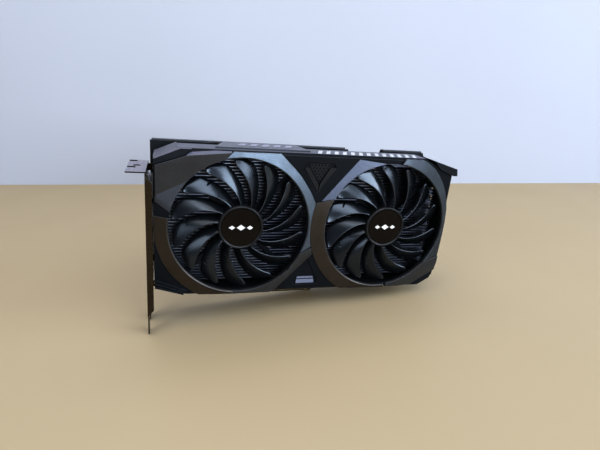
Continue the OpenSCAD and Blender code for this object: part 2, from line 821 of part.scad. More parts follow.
module blade() {
    rows = len(blade_radii);
    cols = blade_steps + 1;
    thin = 1.1;
    points = [for (side = [0, thin], r = blade_radii, j = [0:blade_steps])
        blade_point(r, j / blade_steps, side)];
    last = rows * cols;
    faces = concat(
        [for (i = [0:rows - 2], j = [0:cols - 2], h = [0, 1])
            h == 0 ? [i * cols + j, (i + 1) * cols + j, (i + 1) * cols + j + 1]
                : [i * cols + j, (i + 1) * cols + j + 1, i * cols + j + 1]],
        [for (i = [0:rows - 2], j = [0:cols - 2], h = [0, 1])
            h == 0 ? [last + i * cols + j, last + (i + 1) * cols + j + 1,
                last + (i + 1) * cols + j]
                : [last + i * cols + j, last + i * cols + j + 1,
                last + (i + 1) * cols + j + 1]],
        [for (i = [0:rows - 2], h = [0, 1])
            h == 0 ? [i * cols, last + i * cols, last + (i + 1) * cols]
                : [i * cols, last + (i + 1) * cols, (i + 1) * cols]],
        [for (i = [0:rows - 2], h = [0, 1])
            h == 0 ? [(i + 1) * cols - 1, last + (i + 2) * cols - 1, last + (i + 1) * cols - 1]
                : [(i + 1) * cols - 1, (i + 2) * cols - 1, last + (i + 2) * cols - 1]],
        [for (j = [0:cols - 2], h = [0, 1])
            h == 0 ? [j, j + 1, last + j + 1] : [j, last + j + 1, last + j]],
        [for (j = [0:cols - 2], h = [0, 1])
            let(k = (rows - 1) * cols + j)
            h == 0 ? [k, last + k + 1, k + 1] : [k, last + k, last + k + 1]]);
    polyhedron(points, faces, convexity = 4);
}

module rotor(x, phase) {
    color("#202328") translate([x, 0, fan_z]) {
        for (i = [0:blade_count - 1]) {
            rotate([0, -phase - i * 360 / blade_count, 0]) blade();
        }
        rotate([-90, 0, 0]) translate([0, 0, fan_y]) rotate_extrude($fn = 96)
            polygon([[1, 1.9], [13.7, 1.9], [13.7, 0.5], [14.4, 0], [15.1, 0],
                [hub_r, 0.9], [hub_r, 10], [14.3, 10], [14.3, 3.2], [3.2, 3.2], [3.2, 5],
                [1, 5]]);
    }
}

module hub_label(x) {
    color("#26221f") rod_y(x, fan_z, 13.5, fan_y + 0.6, fan_y + 1.9);
}

module magnet_ring(x) {
    color("#55565a") tube_y(x, fan_z, 12.7, 14.3, fan_y + 3.4, fan_y + 9.6);
}

module shaft(x) {
    color("#d5d7da") rod_y(x, fan_z, 1, fan_y + 1.9, frame_y + 0.2);
}

module bearing(x) {
    color("#b08d57") tube_y(x, fan_z, 1.03, 2.6, fan_y + 5.3, frame_y + 0.1);
}

module stator(x) {
    color("#8a4f2a") difference() {
        union() {
            tube_y(x, fan_z, 4, 6, fan_y + 5.2, frame_y - 1.2);
            for (a = [0:60:300]) {
                translate([x, fan_y + 5.6, fan_z]) rotate([0, a, 0]) {
                    translate([5.5, 0, -1.6]) cube([4.6, 3.2, 3.2]);
                    translate([9.6, 0, -3.6]) cube([1.6, 3.2, 7.2]);
                }
            }
        }
        rod_y(x, fan_z, 4, fan_y, frame_y + 1);
    }
}

module fan_frame(x) {
    color("#16171a") difference() {
        union() {
            rod_y(x, fan_z, 14.6, frame_y, frame_y + frame_t);
            rod_y(x, fan_z, 4, fan_y + 5.4, frame_y + eps);
            for (a = boss_angles) {
                translate([x, frame_y, fan_z]) rotate([0, -a, 0])
                    translate([12, 0, -1.8]) cube([boss_r - 12, frame_t, 3.6]);
                rod_y(x + boss_r * cos(a), fan_z + boss_r * sin(a), 3.2, frame_y,
                    frame_y + frame_t);
            }
        }
        rod_y(x, fan_z, 2.6, fan_y, frame_y + 0.4);
        for (a = boss_angles) {
            rod_y(x + boss_r * cos(a), fan_z + boss_r * sin(a), 1.1, frame_y - 1,
                frame_y + frame_t + 1);
        }
    }
}

// Screws that hold the fan frames on the shroud's bosses
module fan_screws() {
    color("#303030") for (x = [fan_x, right_x], a = boss_angles) {
        cx = x + boss_r * cos(a);
        cz = fan_z + boss_r * sin(a);
        rod_y(cx, cz, 0.85, frame_y - 3.5, frame_y + frame_t + 0.1);
        rod_y(cx, cz, 1.9, frame_y + frame_t, frame_y + frame_t + 1.2);
    }
}

// Fan lead: from the motor along a strut, over the top of the fins and down to its header
cable_r = 0.65;
cable_y = frame_y + frame_t + 0.75;
plug_top = 61.3;
function cable_route(x, side) = [[x + side * 8, cable_y, fan_z + 8],
    [x + side * 19, cable_y, fan_z + 19], [x + side * 29, cable_y, fan_z + 29],
    [x + side * 33, cable_y, fan_z + 38.5], [x + side * 38, cable_y, fan_z + 45],
    [x + side * 44, cable_y + 1.8, fan_z + 47.2], [x + side * cable_reach, 0, fan_z + 47.8],
    [x + side * cable_reach, 7.5, fan_z + 47.4], [x + side * cable_reach, 11, fan_z + 45],
    [x + side * cable_reach, 11.6, fan_z + 42], [x + side * cable_reach, 11.6, plug_top]];

function unit(v) = v / norm(v);

module fan_cable(x, out) {
    r = cable_r;
    sides = 8;
    end_x = x + out * cable_reach;
    route = cable_route(x, out);
    n = len(route);
    dir = [for (i = [0:n - 1]) unit(route[min(i + 1, n - 1)] - route[max(i - 1, 0)])];
    side = [for (i = [0:n - 1]) unit(cross(dir[i], abs(dir[i][2]) > 0.8 ? [1, 0, 0] : [0, 0, 1]))];
    points = [for (i = [0:n - 1], k = [0:sides - 1])
        let(a = 360 * k / sides, v = cross(dir[i], side[i]))
        route[i] + r * (cos(a) * side[i] + sin(a) * v)];
    faces = concat([[for (k = [0:sides - 1]) k]],
        [for (i = [0:n - 2], k = [0:sides - 1])
            [i * sides + k, (i + 1) * sides + k, (i + 1) * sides + (k + 1) % sides,
            i * sides + (k + 1) % sides]],
        [[for (k = [sides - 1:-1:0]) (n - 1) * sides + k]]);
    color("#0c0c0c") {
        polyhedron(points, faces);
        span([end_x - 3.7, board_y0 - 6.2, 58.7], [end_x + 3.7, board_y0 - 1.3, plug_top]);
    }
}

io_bracket();
bracket_tab();
bracket_screws();
circuit_board();
edge_contacts();
gpu_substrate();
gpu_die();
thermal_paste();
memory_chips();
memory_pads();
power_chokes();
power_stages();
capacitors();
displayport_shells();
hdmi_shell();
display_tongues();
power_socket();
power_pins();
fan_headers();
cold_plate();
heat_pipes();
fin_stack();
retention_spring();
retention_screws();
shroud();
shroud_top();
standoffs();
shroud_screws();
backplate();
backplate_screws();
upper_left_panel();
left_upper_bezel();
left_lower_bezel();
centre_bar();
right_upper_facet();
right_upper_bezel();
right_lower_bezel();
lower_right_panel();
corner_plates();
centre_emblem();
lower_badge();
top_badge();
top_stripes();
fan_screws();
rotor(fan_x, 7.9);  // left_rotor
hub_label(fan_x);  // left_hub_label
magnet_ring(fan_x);  // left_magnet_ring
shaft(fan_x);  // left_shaft
bearing(fan_x);  // left_bearing
stator(fan_x);  // left_stator
fan_frame(fan_x);  // left_fan_frame
fan_cable(fan_x, 1);  // left_fan_cable
rotor(right_x, 10.7);  // right_rotor
hub_label(right_x);  // right_hub_label
magnet_ring(right_x);  // right_magnet_ring
shaft(right_x);  // right_shaft
bearing(right_x);  // right_bearing
stator(right_x);  // right_stator
fan_frame(right_x);  // right_fan_frame
fan_cable(right_x, -1);  // right_fan_cable
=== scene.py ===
"""Looks of the dual-fan graphics card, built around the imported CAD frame.

Lengths are in metres where they carry MM or come from the frame, and in mm in the tables."""
import json
import math

import bmesh
import bpy
from mathutils import Matrix, Vector


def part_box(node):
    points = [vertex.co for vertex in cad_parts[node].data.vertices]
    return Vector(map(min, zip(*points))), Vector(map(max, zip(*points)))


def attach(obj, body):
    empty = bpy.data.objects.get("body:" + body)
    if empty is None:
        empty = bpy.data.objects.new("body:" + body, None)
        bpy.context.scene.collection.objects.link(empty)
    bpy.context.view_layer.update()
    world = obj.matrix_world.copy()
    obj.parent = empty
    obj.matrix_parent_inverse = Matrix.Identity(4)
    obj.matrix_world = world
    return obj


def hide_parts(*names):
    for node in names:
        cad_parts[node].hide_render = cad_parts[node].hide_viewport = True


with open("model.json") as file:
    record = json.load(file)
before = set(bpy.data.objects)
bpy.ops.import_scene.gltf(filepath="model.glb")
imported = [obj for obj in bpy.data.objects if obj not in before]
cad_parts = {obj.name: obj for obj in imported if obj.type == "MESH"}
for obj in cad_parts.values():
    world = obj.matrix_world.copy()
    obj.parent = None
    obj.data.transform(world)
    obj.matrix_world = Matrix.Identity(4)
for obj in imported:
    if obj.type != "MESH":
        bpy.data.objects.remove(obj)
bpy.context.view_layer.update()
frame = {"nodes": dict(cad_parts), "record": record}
NODES = frame["nodes"]
BODY_OF = {node: body for body, nodes in frame["record"]["behaviour"]["bodies"].items()
           for node in nodes}
MM = 0.001
MICRON = 0.000001


# ---------------------------------------------------------------- camera and floor

# Where the camera stands in metres, how it is turned, and its lens, sensor and clipping range
CAMERA_PLACE = Vector((0.0165, -0.2982, 0.1242))
HEADING, PITCH, ROLL = math.radians(17.36), math.radians(-18.74), math.radians(5.56)
LENS_MM, SENSOR_MM = 26.03, 36
CLIP_NEAR, CLIP_FAR = 0.01, 50

# The card stands on its bracket tongues and on the end of its edge connector, so the floor
# leans against the card's own axes. The tongues touch it at their inner faces.
BRACKET_THICKNESS = 0.86 * MM
FLOOR_POINT = Vector((BRACKET_THICKNESS, 0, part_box("io_bracket")[0].z))
CONTACT_END = Vector((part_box("edge_contacts")[1].x, 0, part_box("circuit_board")[0].z))
FLOOR_TILT = math.atan2(CONTACT_END.z - FLOOR_POINT.z, CONTACT_END.x - FLOOR_POINT.x)
STAGE = Matrix.Translation(FLOOR_POINT) @ Matrix.Rotation(-FLOOR_TILT, 4, "Y") @ \
    Matrix.Rotation(-HEADING, 4, "Z")


def linked(name, data):
    """A new object with that data, in the scene."""
    piece = bpy.data.objects.new(name, data)
    bpy.context.scene.collection.objects.link(piece)
    return piece


def add_camera():
    """HEADING turns the camera from +Y to +X, PITCH lifts it and ROLL lifts its right side."""
    data = bpy.data.cameras.new("camera")
    data.lens = LENS_MM
    data.sensor_width = SENSOR_MM
    data.clip_start = CLIP_NEAR
    data.clip_end = CLIP_FAR
    forward = Vector((math.sin(HEADING) * math.cos(PITCH), math.cos(HEADING) * math.cos(PITCH),
                      math.sin(PITCH)))
    level = forward.cross(Vector((0, 0, 1))).normalized()
    right = level * math.cos(ROLL) + level.cross(forward) * math.sin(ROLL)
    up = right.cross(forward)
    camera = linked("camera", data)
    camera.matrix_world = Matrix.Translation(CAMERA_PLACE) @ Matrix(
        (right, up, -forward)).transposed().to_4x4()
    bpy.context.scene.camera = camera


add_camera()


# ---------------------------------------------------------------- materials

MATERIALS = {}

# Noise values between which a colour or a roughness drifts
DRIFT_FROM, DRIFT_TO = 0.3, 0.7
# The roughness drifts in patches this many times finer than the colour's
ROUGHNESS_FINER = 2.7
# Moulded grain: where it starts and is full, how far it shifts the colour, and the gain and
# lift of the lighter colour that it shifts to
GRAIN_FROM, GRAIN_TO, GRAIN_SHARE = 0.45, 0.75, 0.35
GRAIN_GAIN, GRAIN_LIFT = 1.5, 0.004
# Brushed lines: their scale, how far they darken the colour, and to what share of it
BRUSH_SCALE, BRUSH_SHARE, BRUSH_SHADE = 900, 0.5, 0.72
# Faint scratches: their scale, stretch and break-up, and where they start and are full
SCRATCH_SCALE, SCRATCH_STRETCH, SCRATCH_BREAKUP = 260, (1, 1, 14), 0.7
SCRATCH_FROM, SCRATCH_TO = 0.35, 0.62
# Metal flecks: how far from its middle a fleck is full and gone, and its share of the bump
FLECK_FULL, FLECK_GONE, FLECK_BUMP = 0.12, 0.3, 0.6
COAT_ROUGHNESS = 0.15
# The Mix node's sockets for two colours, and for the mixed one
MIX_FIRST, MIX_SECOND, MIX_RESULT = 6, 7, 2


def shader_tree(name):
    material = bpy.data.materials.new(name)
    material.use_nodes = True
    tree = material.node_tree
    tree.nodes.clear()
    shader = tree.nodes.new("ShaderNodeBsdfPrincipled")
    out = tree.nodes.new("ShaderNodeOutputMaterial")
    tree.links.new(shader.outputs["BSDF"], out.inputs["Surface"])
    return material, tree, shader


def mapped(tree, stretch=(1, 1, 1)):
    """Object coordinates in metres, stretched along an axis for brushed or drawn textures."""
    where = tree.nodes.new("ShaderNodeTexCoord")
    mapping = tree.nodes.new("ShaderNodeMapping")
    mapping.inputs["Scale"].default_value = stretch
    tree.links.new(where.outputs["Object"], mapping.inputs["Vector"])
    return mapping.outputs["Vector"]


def noise_map(tree, scale, detail, stretch=(1, 1, 1), breakup=0.5):
    texture = tree.nodes.new("ShaderNodeTexNoise")
    texture.inputs["Scale"].default_value = scale
    texture.inputs["Detail"].default_value = detail
    texture.inputs["Roughness"].default_value = breakup
    tree.links.new(mapped(tree, stretch), texture.inputs["Vector"])
    return texture.outputs["Fac"]


def drift(tree, source, low, high):
    """Colour low where source is dark and high where it is light."""
    node = tree.nodes.new("ShaderNodeValToRGB")
    tree.links.new(source, node.inputs["Fac"])
    for element, position, color in zip(node.color_ramp.elements, (DRIFT_FROM, DRIFT_TO),
                                        (low, high)):
        element.position = position
        element.color = (*color, 1)
    return node.outputs["Color"]


def spread(tree, source, low, high, start=DRIFT_FROM, end=DRIFT_TO):
    """Values from low to high while source goes from start to end."""
    node = tree.nodes.new("ShaderNodeMapRange")
    tree.links.new(source, node.inputs["Value"])
    node.inputs["From Min"].default_value = start
    node.inputs["From Max"].default_value = end
    node.inputs["To Min"].default_value = low
    node.inputs["To Max"].default_value = high
    return node.outputs["Result"]


def bumped(tree, height, depth, below=None):
    """A bump of that depth in metres, on top of the bump below."""
    node = tree.nodes.new("ShaderNodeBump")
    node.inputs["Distance"].default_value = depth
    node.inputs["Strength"].default_value = 1
    tree.links.new(height, node.inputs["Height"])
    if below is not None:
        tree.links.new(below, node.inputs["Normal"])
    return node.outputs["Normal"]


def mixed(tree, factor, first, second):
    """The colour socket first where factor is 0, and the colour second where it is 1."""
    node = tree.nodes.new("ShaderNodeMix")
    node.data_type = "RGBA"
    tree.links.new(factor, node.inputs["Factor"])
    tree.links.new(first, node.inputs[MIX_FIRST])
    node.inputs[MIX_SECOND].default_value = (*second, 1)
    return node.outputs[MIX_RESULT]


def finish(name, low, high, rough, metallic=0.0, coat=0.0, patch=45, grain=0, depth=10,
           brushed=None, fleck=None, ior=1.45, scratches=0.0, tint=None):
    """Adds a surface to MATERIALS. Its colour drifts from low to high in soft patches, and its
    roughness through rough. On top come a moulded grain of that scale, lines brushed along a
    stretch, flecks of a scale and colour, or scratches that much glossier, and depth is the
    height of their bump in micrometres."""
    material, tree, shader = shader_tree(name)
    shader.inputs["Metallic"].default_value = metallic
    shader.inputs["IOR"].default_value = ior
    shader.inputs["Coat Weight"].default_value = coat
    shader.inputs["Coat Roughness"].default_value = COAT_ROUGHNESS
    # tint colours the surface's reflections; the bluish and warm tints given below are painted,
    # standing in for the colour of the light and floor they reflect
    if tint:
        shader.inputs["Specular Tint"].default_value = (*tint, 1)
    depth *= MICRON
    color = drift(tree, noise_map(tree, patch, detail=4), low, high)
    roughness = spread(tree, noise_map(tree, patch * ROUGHNESS_FINER, detail=5), *rough)
    normal = None
    if grain:
        pebble = noise_map(tree, grain, detail=2)
        normal = bumped(tree, pebble, depth)
        color = mixed(tree, spread(tree, pebble, 0, GRAIN_SHARE, GRAIN_FROM, GRAIN_TO), color,
                      tuple(min(1, GRAIN_GAIN * c + GRAIN_LIFT) for c in high))
    if brushed:
        lines = noise_map(tree, BRUSH_SCALE, detail=2, stretch=brushed)
        normal = bumped(tree, lines, depth, normal)
        roughness = spread(tree, lines, *rough)
        color = mixed(tree, spread(tree, lines, 0, BRUSH_SHARE), color,
                      tuple(BRUSH_SHADE * c for c in low))
    if scratches:
        hairline = noise_map(tree, SCRATCH_SCALE, detail=6, stretch=SCRATCH_STRETCH,
                             breakup=SCRATCH_BREAKUP)
        roughness = spread(tree, hairline, rough[0] - scratches, rough[1], SCRATCH_FROM,
                           SCRATCH_TO)
    if fleck:
        fleck_scale, fleck_color = fleck
        cells = tree.nodes.new("ShaderNodeTexVoronoi")
        cells.inputs["Scale"].default_value = fleck_scale
        tree.links.new(mapped(tree), cells.inputs["Vector"])
        distance = cells.outputs["Distance"]
        color = mixed(tree, spread(tree, distance, 1, 0, FLECK_FULL, FLECK_GONE), color,
                      fleck_color)
        normal = bumped(tree, distance, depth * FLECK_BUMP, normal)
    tree.links.new(color, shader.inputs["Base Color"])
    tree.links.new(roughness, shader.inputs["Roughness"])
    if normal is not None:
        tree.links.new(normal, shader.inputs["Normal"])
    MATERIALS[name] = material


def grey(value, warm=0.0):
    """A grey, warmer (towards brown) or cooler (towards blue) by a share."""
    return (value * (1 + warm), value, value * (1 - warm))


# Stretches that draw brushed lines out along one axis
ALONG_X, ALONG_Y, ALONG_Z = (0.03, 1, 1), (1, 0.03, 1), (1, 1, 0.03)

# Shroud, accent covers and prints
finish("shroud_black", grey(0.003, -0.2), grey(0.006, -0.15), (0.34, 0.46), ior=1.15, grain=3200,
       depth=30, tint=(0.95, 0.92, 1))
finish("shroud_edge", grey(0.005, -0.2), grey(0.009, -0.15), (0.26, 0.36), ior=1.2, grain=2600,
       depth=10, tint=(0.9, 0.92, 1))
finish("panel_charcoal", grey(0.009, 0.06), grey(0.014, 0.04), (0.3, 0.38), ior=1.3,
       tint=(1, 0.96, 0.93), grain=2800, depth=15, fleck=(2300, grey(0.05)))
# Painted light on single faces: painted shade on the top badge's front faces, and a lighter, bluer
# painted reflection on the left panel's creased end
finish("facet_painted_shade_and_reflection", (0.02, 0.022, 0.026), (0.027, 0.029, 0.034), (0.3, 0.4), ior=1.32,
       grain=2800, depth=15, fleck=(2300, (0.07, 0.075, 0.09)))
# A painted sheen for the upper left panel's faces that look up
finish("facet_painted_sheen", (0.05, 0.052, 0.075), (0.066, 0.069, 0.096), (0.32, 0.42), metallic=0.4,
       grain=2800, depth=12)
finish("emblem_black", grey(0.006), grey(0.009), (0.3, 0.4), ior=1.21, grain=2800, depth=12)
finish("bezel_gunmetal", grey(0.06, -0.2), grey(0.08, -0.18), (0.37, 0.45), metallic=0.85, ior=1.4,
       grain=2600, depth=12, fleck=(2100, (0.16, 0.19, 0.25)))
# A bluer, less metallic copy of the gunmetal for the right upper facet: a painted bluish
# reflection, evenly lit
finish("bezel_facet", (0.056, 0.064, 0.088), (0.07, 0.08, 0.108), (0.42, 0.5), metallic=0.5,
       ior=1.4, grain=2600, depth=12, fleck=(2100, (0.15, 0.17, 0.22)))
# A darker copy of the gunmetal for the right upper bezel: painted shade
finish("bezel_painted_shade", grey(0.034, -0.16), grey(0.046, -0.14), (0.3, 0.38), metallic=0.85, ior=1.4,
       grain=2600, depth=12, fleck=(2100, (0.1, 0.11, 0.14)))
# The gunmetal turned warm brown for the lower bezels: a painted reflection of the warm floor below
finish("bezel_painted_warm_reflection", grey(0.022, 0.26), grey(0.03, 0.24), (0.3, 0.38), metallic=0.8, ior=1.4,
       grain=2600, depth=12, fleck=(2100, (0.12, 0.1, 0.085)))
# A glossy grey metal on the rounded edges of the covers; on the dark covers it is lighter than the
# surface, a painted highlight along the edges
finish("accent_edge", grey(0.035, -0.1), grey(0.05, -0.08), (0.26, 0.34), metallic=0.6, grain=2000,
       depth=8)
finish("badge_lavender", (0.075, 0.077, 0.095), (0.095, 0.098, 0.12), (0.34, 0.44), metallic=0.5,
       grain=2400, depth=8)
finish("badge_silver", (0.09, 0.1, 0.14), (0.115, 0.125, 0.17), (0.3, 0.4), metallic=0.2,
       grain=2400, depth=8)
# The top band's lavender is a painted sheen on black plastic, as if lit by the ceiling; it also
# paints faces that look up near the top
finish("top_painted_sheen", (0.039, 0.04, 0.055), (0.053, 0.054, 0.073), (0.36, 0.48), grain=3000,
       depth=20)
finish("print_silver", grey(0.62), grey(0.74), (0.28, 0.4), metallic=0.6, grain=3000, depth=5)
finish("print_white", grey(0.3, -0.05), grey(0.38, -0.04), (0.45, 0.6), grain=2400, depth=6)
# Fans
finish("blade_black", grey(0.003, -0.2), grey(0.005, -0.16), (0.2, 0.28), patch=30, ior=1.5,
       tint=(0.78, 0.88, 1), grain=2600, depth=8)
finish("hub_black", grey(0.004, -0.1), grey(0.006, -0.08), (0.28, 0.36), ior=1.3, grain=2600,
       depth=8)
finish("hub_disc", grey(0.003, 0.4), grey(0.005, 0.34), (0.32, 0.42), ior=1.1, tint=(1, 0.9, 0.9),
       grain=3600, depth=10)
finish("magnet_grey", grey(0.08), grey(0.12), (0.5, 0.65), metallic=0.5, grain=1500, depth=20)
finish("bronze", (0.4, 0.27, 0.13), (0.5, 0.36, 0.2), (0.35, 0.5), metallic=1, grain=1500,
       depth=10)
finish("cable_rubber", grey(0.012), grey(0.02), (0.5, 0.65), grain=1200, depth=20)
# Backplate, bracket, heat sink and screws
finish("backplate_black", grey(0.03, -0.08), grey(0.045, -0.06), (0.3, 0.44), ior=1.35,
       metallic=0.75, brushed=ALONG_X, depth=20)
# Its warm brown base and warm reflection tint are a painted reflection of the warm floor
finish("bracket_black", grey(0.004, 0.5), grey(0.007, 0.5), (0.16, 0.28), ior=1.34,
       tint=(1, 0.84, 0.66), scratches=0.06, grain=900, depth=10)
finish("tab_grey", (0.28, 0.265, 0.31), (0.345, 0.325, 0.37), (0.36, 0.46), metallic=0.85,
       brushed=ALONG_Y, depth=6)
finish("tab_nickel", (0.34, 0.34, 0.42), (0.42, 0.42, 0.5), (0.36, 0.46), metallic=0.85,
       brushed=ALONG_Y, depth=6)
finish("nickel", grey(0.42, -0.03), grey(0.55, -0.02), (0.22, 0.36), metallic=1, brushed=ALONG_Z,
       depth=6)
# The fins' aluminium is painted darker and bluer than bare metal: painted shade inside the card,
# with a bluish painted reflection
finish("fin_metal", (0.21, 0.23, 0.28), (0.29, 0.315, 0.375), (0.36, 0.48), metallic=1,
       brushed=ALONG_X, depth=10)
finish("copper", (0.48, 0.23, 0.12), (0.66, 0.34, 0.2), (0.24, 0.4), metallic=1, brushed=ALONG_X,
       depth=8)
finish("aluminium", grey(0.55, -0.02), grey(0.68, -0.01), (0.24, 0.4), metallic=1, brushed=ALONG_X,
       depth=10)
finish("steel", grey(0.45), grey(0.58), (0.24, 0.38), metallic=1, brushed=ALONG_X, depth=6)
finish("black_oxide", grey(0.02), grey(0.035), (0.24, 0.4), metallic=0.6, grain=1500, depth=10)
# Circuit board and what stands on it
finish("board_black", (0.004, 0.0045, 0.005), (0.007, 0.008, 0.0085), (0.28, 0.4), ior=1.22,
       patch=300, grain=700, depth=20)
finish("board_edge", (0.008, 0.008, 0.007), (0.014, 0.014, 0.012), (0.5, 0.65), ior=1.3, patch=400,
       grain=1800, depth=20)
finish("gold", (0.5, 0.34, 0.13), (0.62, 0.43, 0.18), (0.16, 0.3), metallic=1, brushed=ALONG_Z,
       depth=4)
finish("chip_epoxy", grey(0.014), grey(0.022), (0.4, 0.55), grain=4000, depth=10)
finish("silicon", (0.16, 0.18, 0.22), (0.2, 0.22, 0.27), (0.06, 0.14), metallic=0.6, patch=900)
finish("substrate_green", (0.03, 0.09, 0.05), (0.045, 0.12, 0.07), (0.25, 0.4), coat=0.3,
       patch=200, grain=900, depth=10)
finish("thermal_grey", (0.36, 0.38, 0.42), (0.46, 0.48, 0.54), (0.7, 0.85), grain=1400, depth=40)
finish("choke_ferrite", grey(0.07), grey(0.1), (0.5, 0.68), grain=1800, depth=30)
finish("socket_black", grey(0.012), grey(0.018), (0.35, 0.5), grain=2600, depth=10)
finish("header_cream", grey(0.62, 0.06), grey(0.7, 0.05), (0.4, 0.55), grain=2200, depth=10)
# Floor and wall
finish("floor_pale", (0.285, 0.222, 0.132), (0.3, 0.235, 0.14), (0.5, 0.6), patch=3)
finish("wall_pale", (0.365, 0.38, 0.425), (0.375, 0.39, 0.435), (0.85, 0.95), patch=3)


# ---------------------------------------------------------------- what each node wears

# CAD nodes whose edges are softened: surface material, edge material and edge width in mm
DRESS = {
    "io_bracket": ("bracket_black", "bracket_black", 0.2),
    "bracket_tab": ("tab_grey", "bracket_black", 0.25),
    "circuit_board": ("board_black", "board_edge", 0.12),
    "shroud": ("shroud_black", "shroud_edge", 0.3),
    "shroud_top": ("top_painted_sheen", "accent_edge", 0.2),
    "backplate": ("backplate_black", "accent_edge", 0.22),
    "upper_left_panel": ("panel_charcoal", "accent_edge", 0.2),
    "left_upper_bezel": ("bezel_gunmetal", "accent_edge", 0.2),
    "left_lower_bezel": ("bezel_painted_warm_reflection", "accent_edge", 0.2),
    "centre_bar": ("panel_charcoal", "accent_edge", 0.2),
    "right_upper_facet": ("bezel_facet", "accent_edge", 0.2),
    "right_upper_bezel": ("bezel_painted_shade", "accent_edge", 0.2),
    "right_lower_bezel": ("bezel_painted_warm_reflection", "accent_edge", 0.2),
    "lower_right_panel": ("panel_charcoal", "accent_edge", 0.2),
    "corner_plates": ("shroud_edge", "shroud_edge", 0.15),
    "centre_emblem": ("emblem_black", "emblem_black", 0),
    "lower_badge": ("badge_silver", "accent_edge", 0.12),
    "top_badge": ("badge_lavender", "accent_edge", 0.12),
    "top_stripes": ("print_white", "print_white", 0.06),
    "power_socket": ("socket_black", "socket_black", 0.12),
    "displayport_shells": ("nickel", "nickel", 0.08),
    "hdmi_shell": ("nickel", "nickel", 0.08),
    "cold_plate": ("copper", "copper", 0.2),
    "retention_spring": ("steel", "steel", 0.15),
    "backplate_screws": ("black_oxide", "steel", 0.15),
    "bracket_screws": ("steel", "steel", 0.12),
    "fan_headers": ("header_cream", "header_cream", 0.1),
    "power_chokes": ("choke_ferrite", "choke_ferrite", 0.25),
    "power_stages": ("chip_epoxy", "chip_epoxy", 0.08),
    "memory_chips": ("chip_epoxy", "chip_epoxy", 0.1),
    "capacitors": ("aluminium", "aluminium", 0.15),
    "standoffs": ("shroud_black", "shroud_edge", 0.15),
    "left_fan_frame": ("shroud_black", "shroud_edge", 0.15),
    "right_fan_frame": ("shroud_black", "shroud_edge", 0.15),
}
# CAD nodes that keep their own mesh, without the side of a fan's nodes
PLAIN = {
    "edge_contacts": "gold", "gpu_substrate": "substrate_green", "gpu_die": "silicon",
    "thermal_paste": "thermal_grey", "memory_pads": "thermal_grey",
    "display_tongues": "socket_black", "power_pins": "gold", "heat_pipes": "copper",
    "fin_stack": "fin_metal", "retention_screws": "steel", "shroud_screws": "black_oxide",
    "fan_screws": "black_oxide", "rotor": "blade_black", "hub_label": "hub_disc",
    "magnet_ring": "magnet_grey", "shaft": "steel", "bearing": "bronze", "stator": "copper",
    "fan_cable": "cable_rubber",
}
SIDES = ("left_", "right_")

# A softened node's material slots after its surface: its edges, its faces that look up (painted
# sheen;
# on the top badge, its raised faces) and single faces in painted shade or a painted reflection
EDGE_SLOT, UPPER_SLOT, PAINTED_FACET_SLOT = 1, 2, 3
UPPER_FINISH = {"top_badge": "tab_nickel", "upper_left_panel": "facet_painted_sheen"}
OTHER_UPPER_FINISH, PAINTED_FACET_FINISH = "top_painted_sheen", "facet_painted_shade_and_reflection"
# Nodes whose faces that look up near the top of the card get a painted sheen, as if lit from above
SKY_NODES = ("shroud", "upper_left_panel", "corner_plates")
SKY_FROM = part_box("shroud")[1].z - 20 * MM
SKY_SLOPE = 0.55
# The top badge's raised faces lie above this
BADGE_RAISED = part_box("top_badge")[1].z - 0.2 * MM
# Shares of a unit normal: a face that looks straight along an axis, the shroud's dark front
# chamfer, and the creased end of the left panel
STRAIGHT, CHAMFER, CREASED = 0.9, 0.5, 0.03


# ---------------------------------------------------------------- pieces from the CAD nodes

# Softening: the gap that is welded, the angle that counts as flat, the angle of a sharp edge,
# the shortest such edge as a share of its width, and the rounding's steps and shape
WELD, FLAT, SHARP = 0.004 * MM, math.radians(0.5), math.radians(28)
SHORTEST, ROUND_STEPS, ROUND_SHAPE = 0.3, 2, 0.5
# The upper left panel's crease: a point on it, the direction away from it down the panel, and
# the lean back beyond it
CREASE_POINT = Vector((5.7, 0, 44.9)) * MM
CREASE_DOWN = Vector((0.44, 0, -0.9)).normalized()
CREASE_LEAN = 0.075
CUT_GAP, FRONT_GAP = 0.001 * MM, 0.01 * MM
SMOOTH_DEG, ROTOR_SMOOTH_DEG = 35, 50


def set_materials(piece, *names):
    """Puts the named materials in a piece's slots; each face keeps its slot."""
    slots = [face.material_index for face in piece.data.polygons]
    piece.data.materials.clear()
    for name in names:
        piece.data.materials.append(MATERIALS[name])
    piece.data.polygons.foreach_set("material_index", slots)


def smooth(mesh, degrees):
    mesh.shade_smooth()
    mesh.set_sharp_from_angle(angle=math.radians(degrees))


def mesh_from(shape, name):
    """A mesh made of a bmesh, which is freed."""
    mesh = bpy.data.meshes.new(name)
    shape.to_mesh(mesh)
    shape.free()
    return mesh


def stand_for(piece, node):
    """piece takes the place of a CAD node, on its body; the node is hidden."""
    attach(piece, BODY_OF[node])
    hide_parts(node)


def crease_left_panel(shape):
    """Leans the panel's lower end back from a crease between the fan opening and its side."""
    front = min(vert.co.y for vert in shape.verts)
    bmesh.ops.bisect_plane(shape, geom=shape.verts[:] + shape.edges[:] + shape.faces[:],
                           plane_co=CREASE_POINT, plane_no=CREASE_DOWN, dist=CUT_GAP)
    for vert in shape.verts:
        below = (vert.co - CREASE_POINT).dot(CREASE_DOWN)
        if below > 0 and vert.co.y < front + FRONT_GAP:
            vert.co.y += CREASE_LEAN * below
    shape.normal_update()


def is_sharp(edge, width):
    """True for an outer edge that is sharp, and long enough to be rounded by width."""
    return (len(edge.link_faces) == 2 and edge.is_convex and edge.calc_face_angle() > SHARP
            and edge.calc_length() > SHORTEST * width * MM)


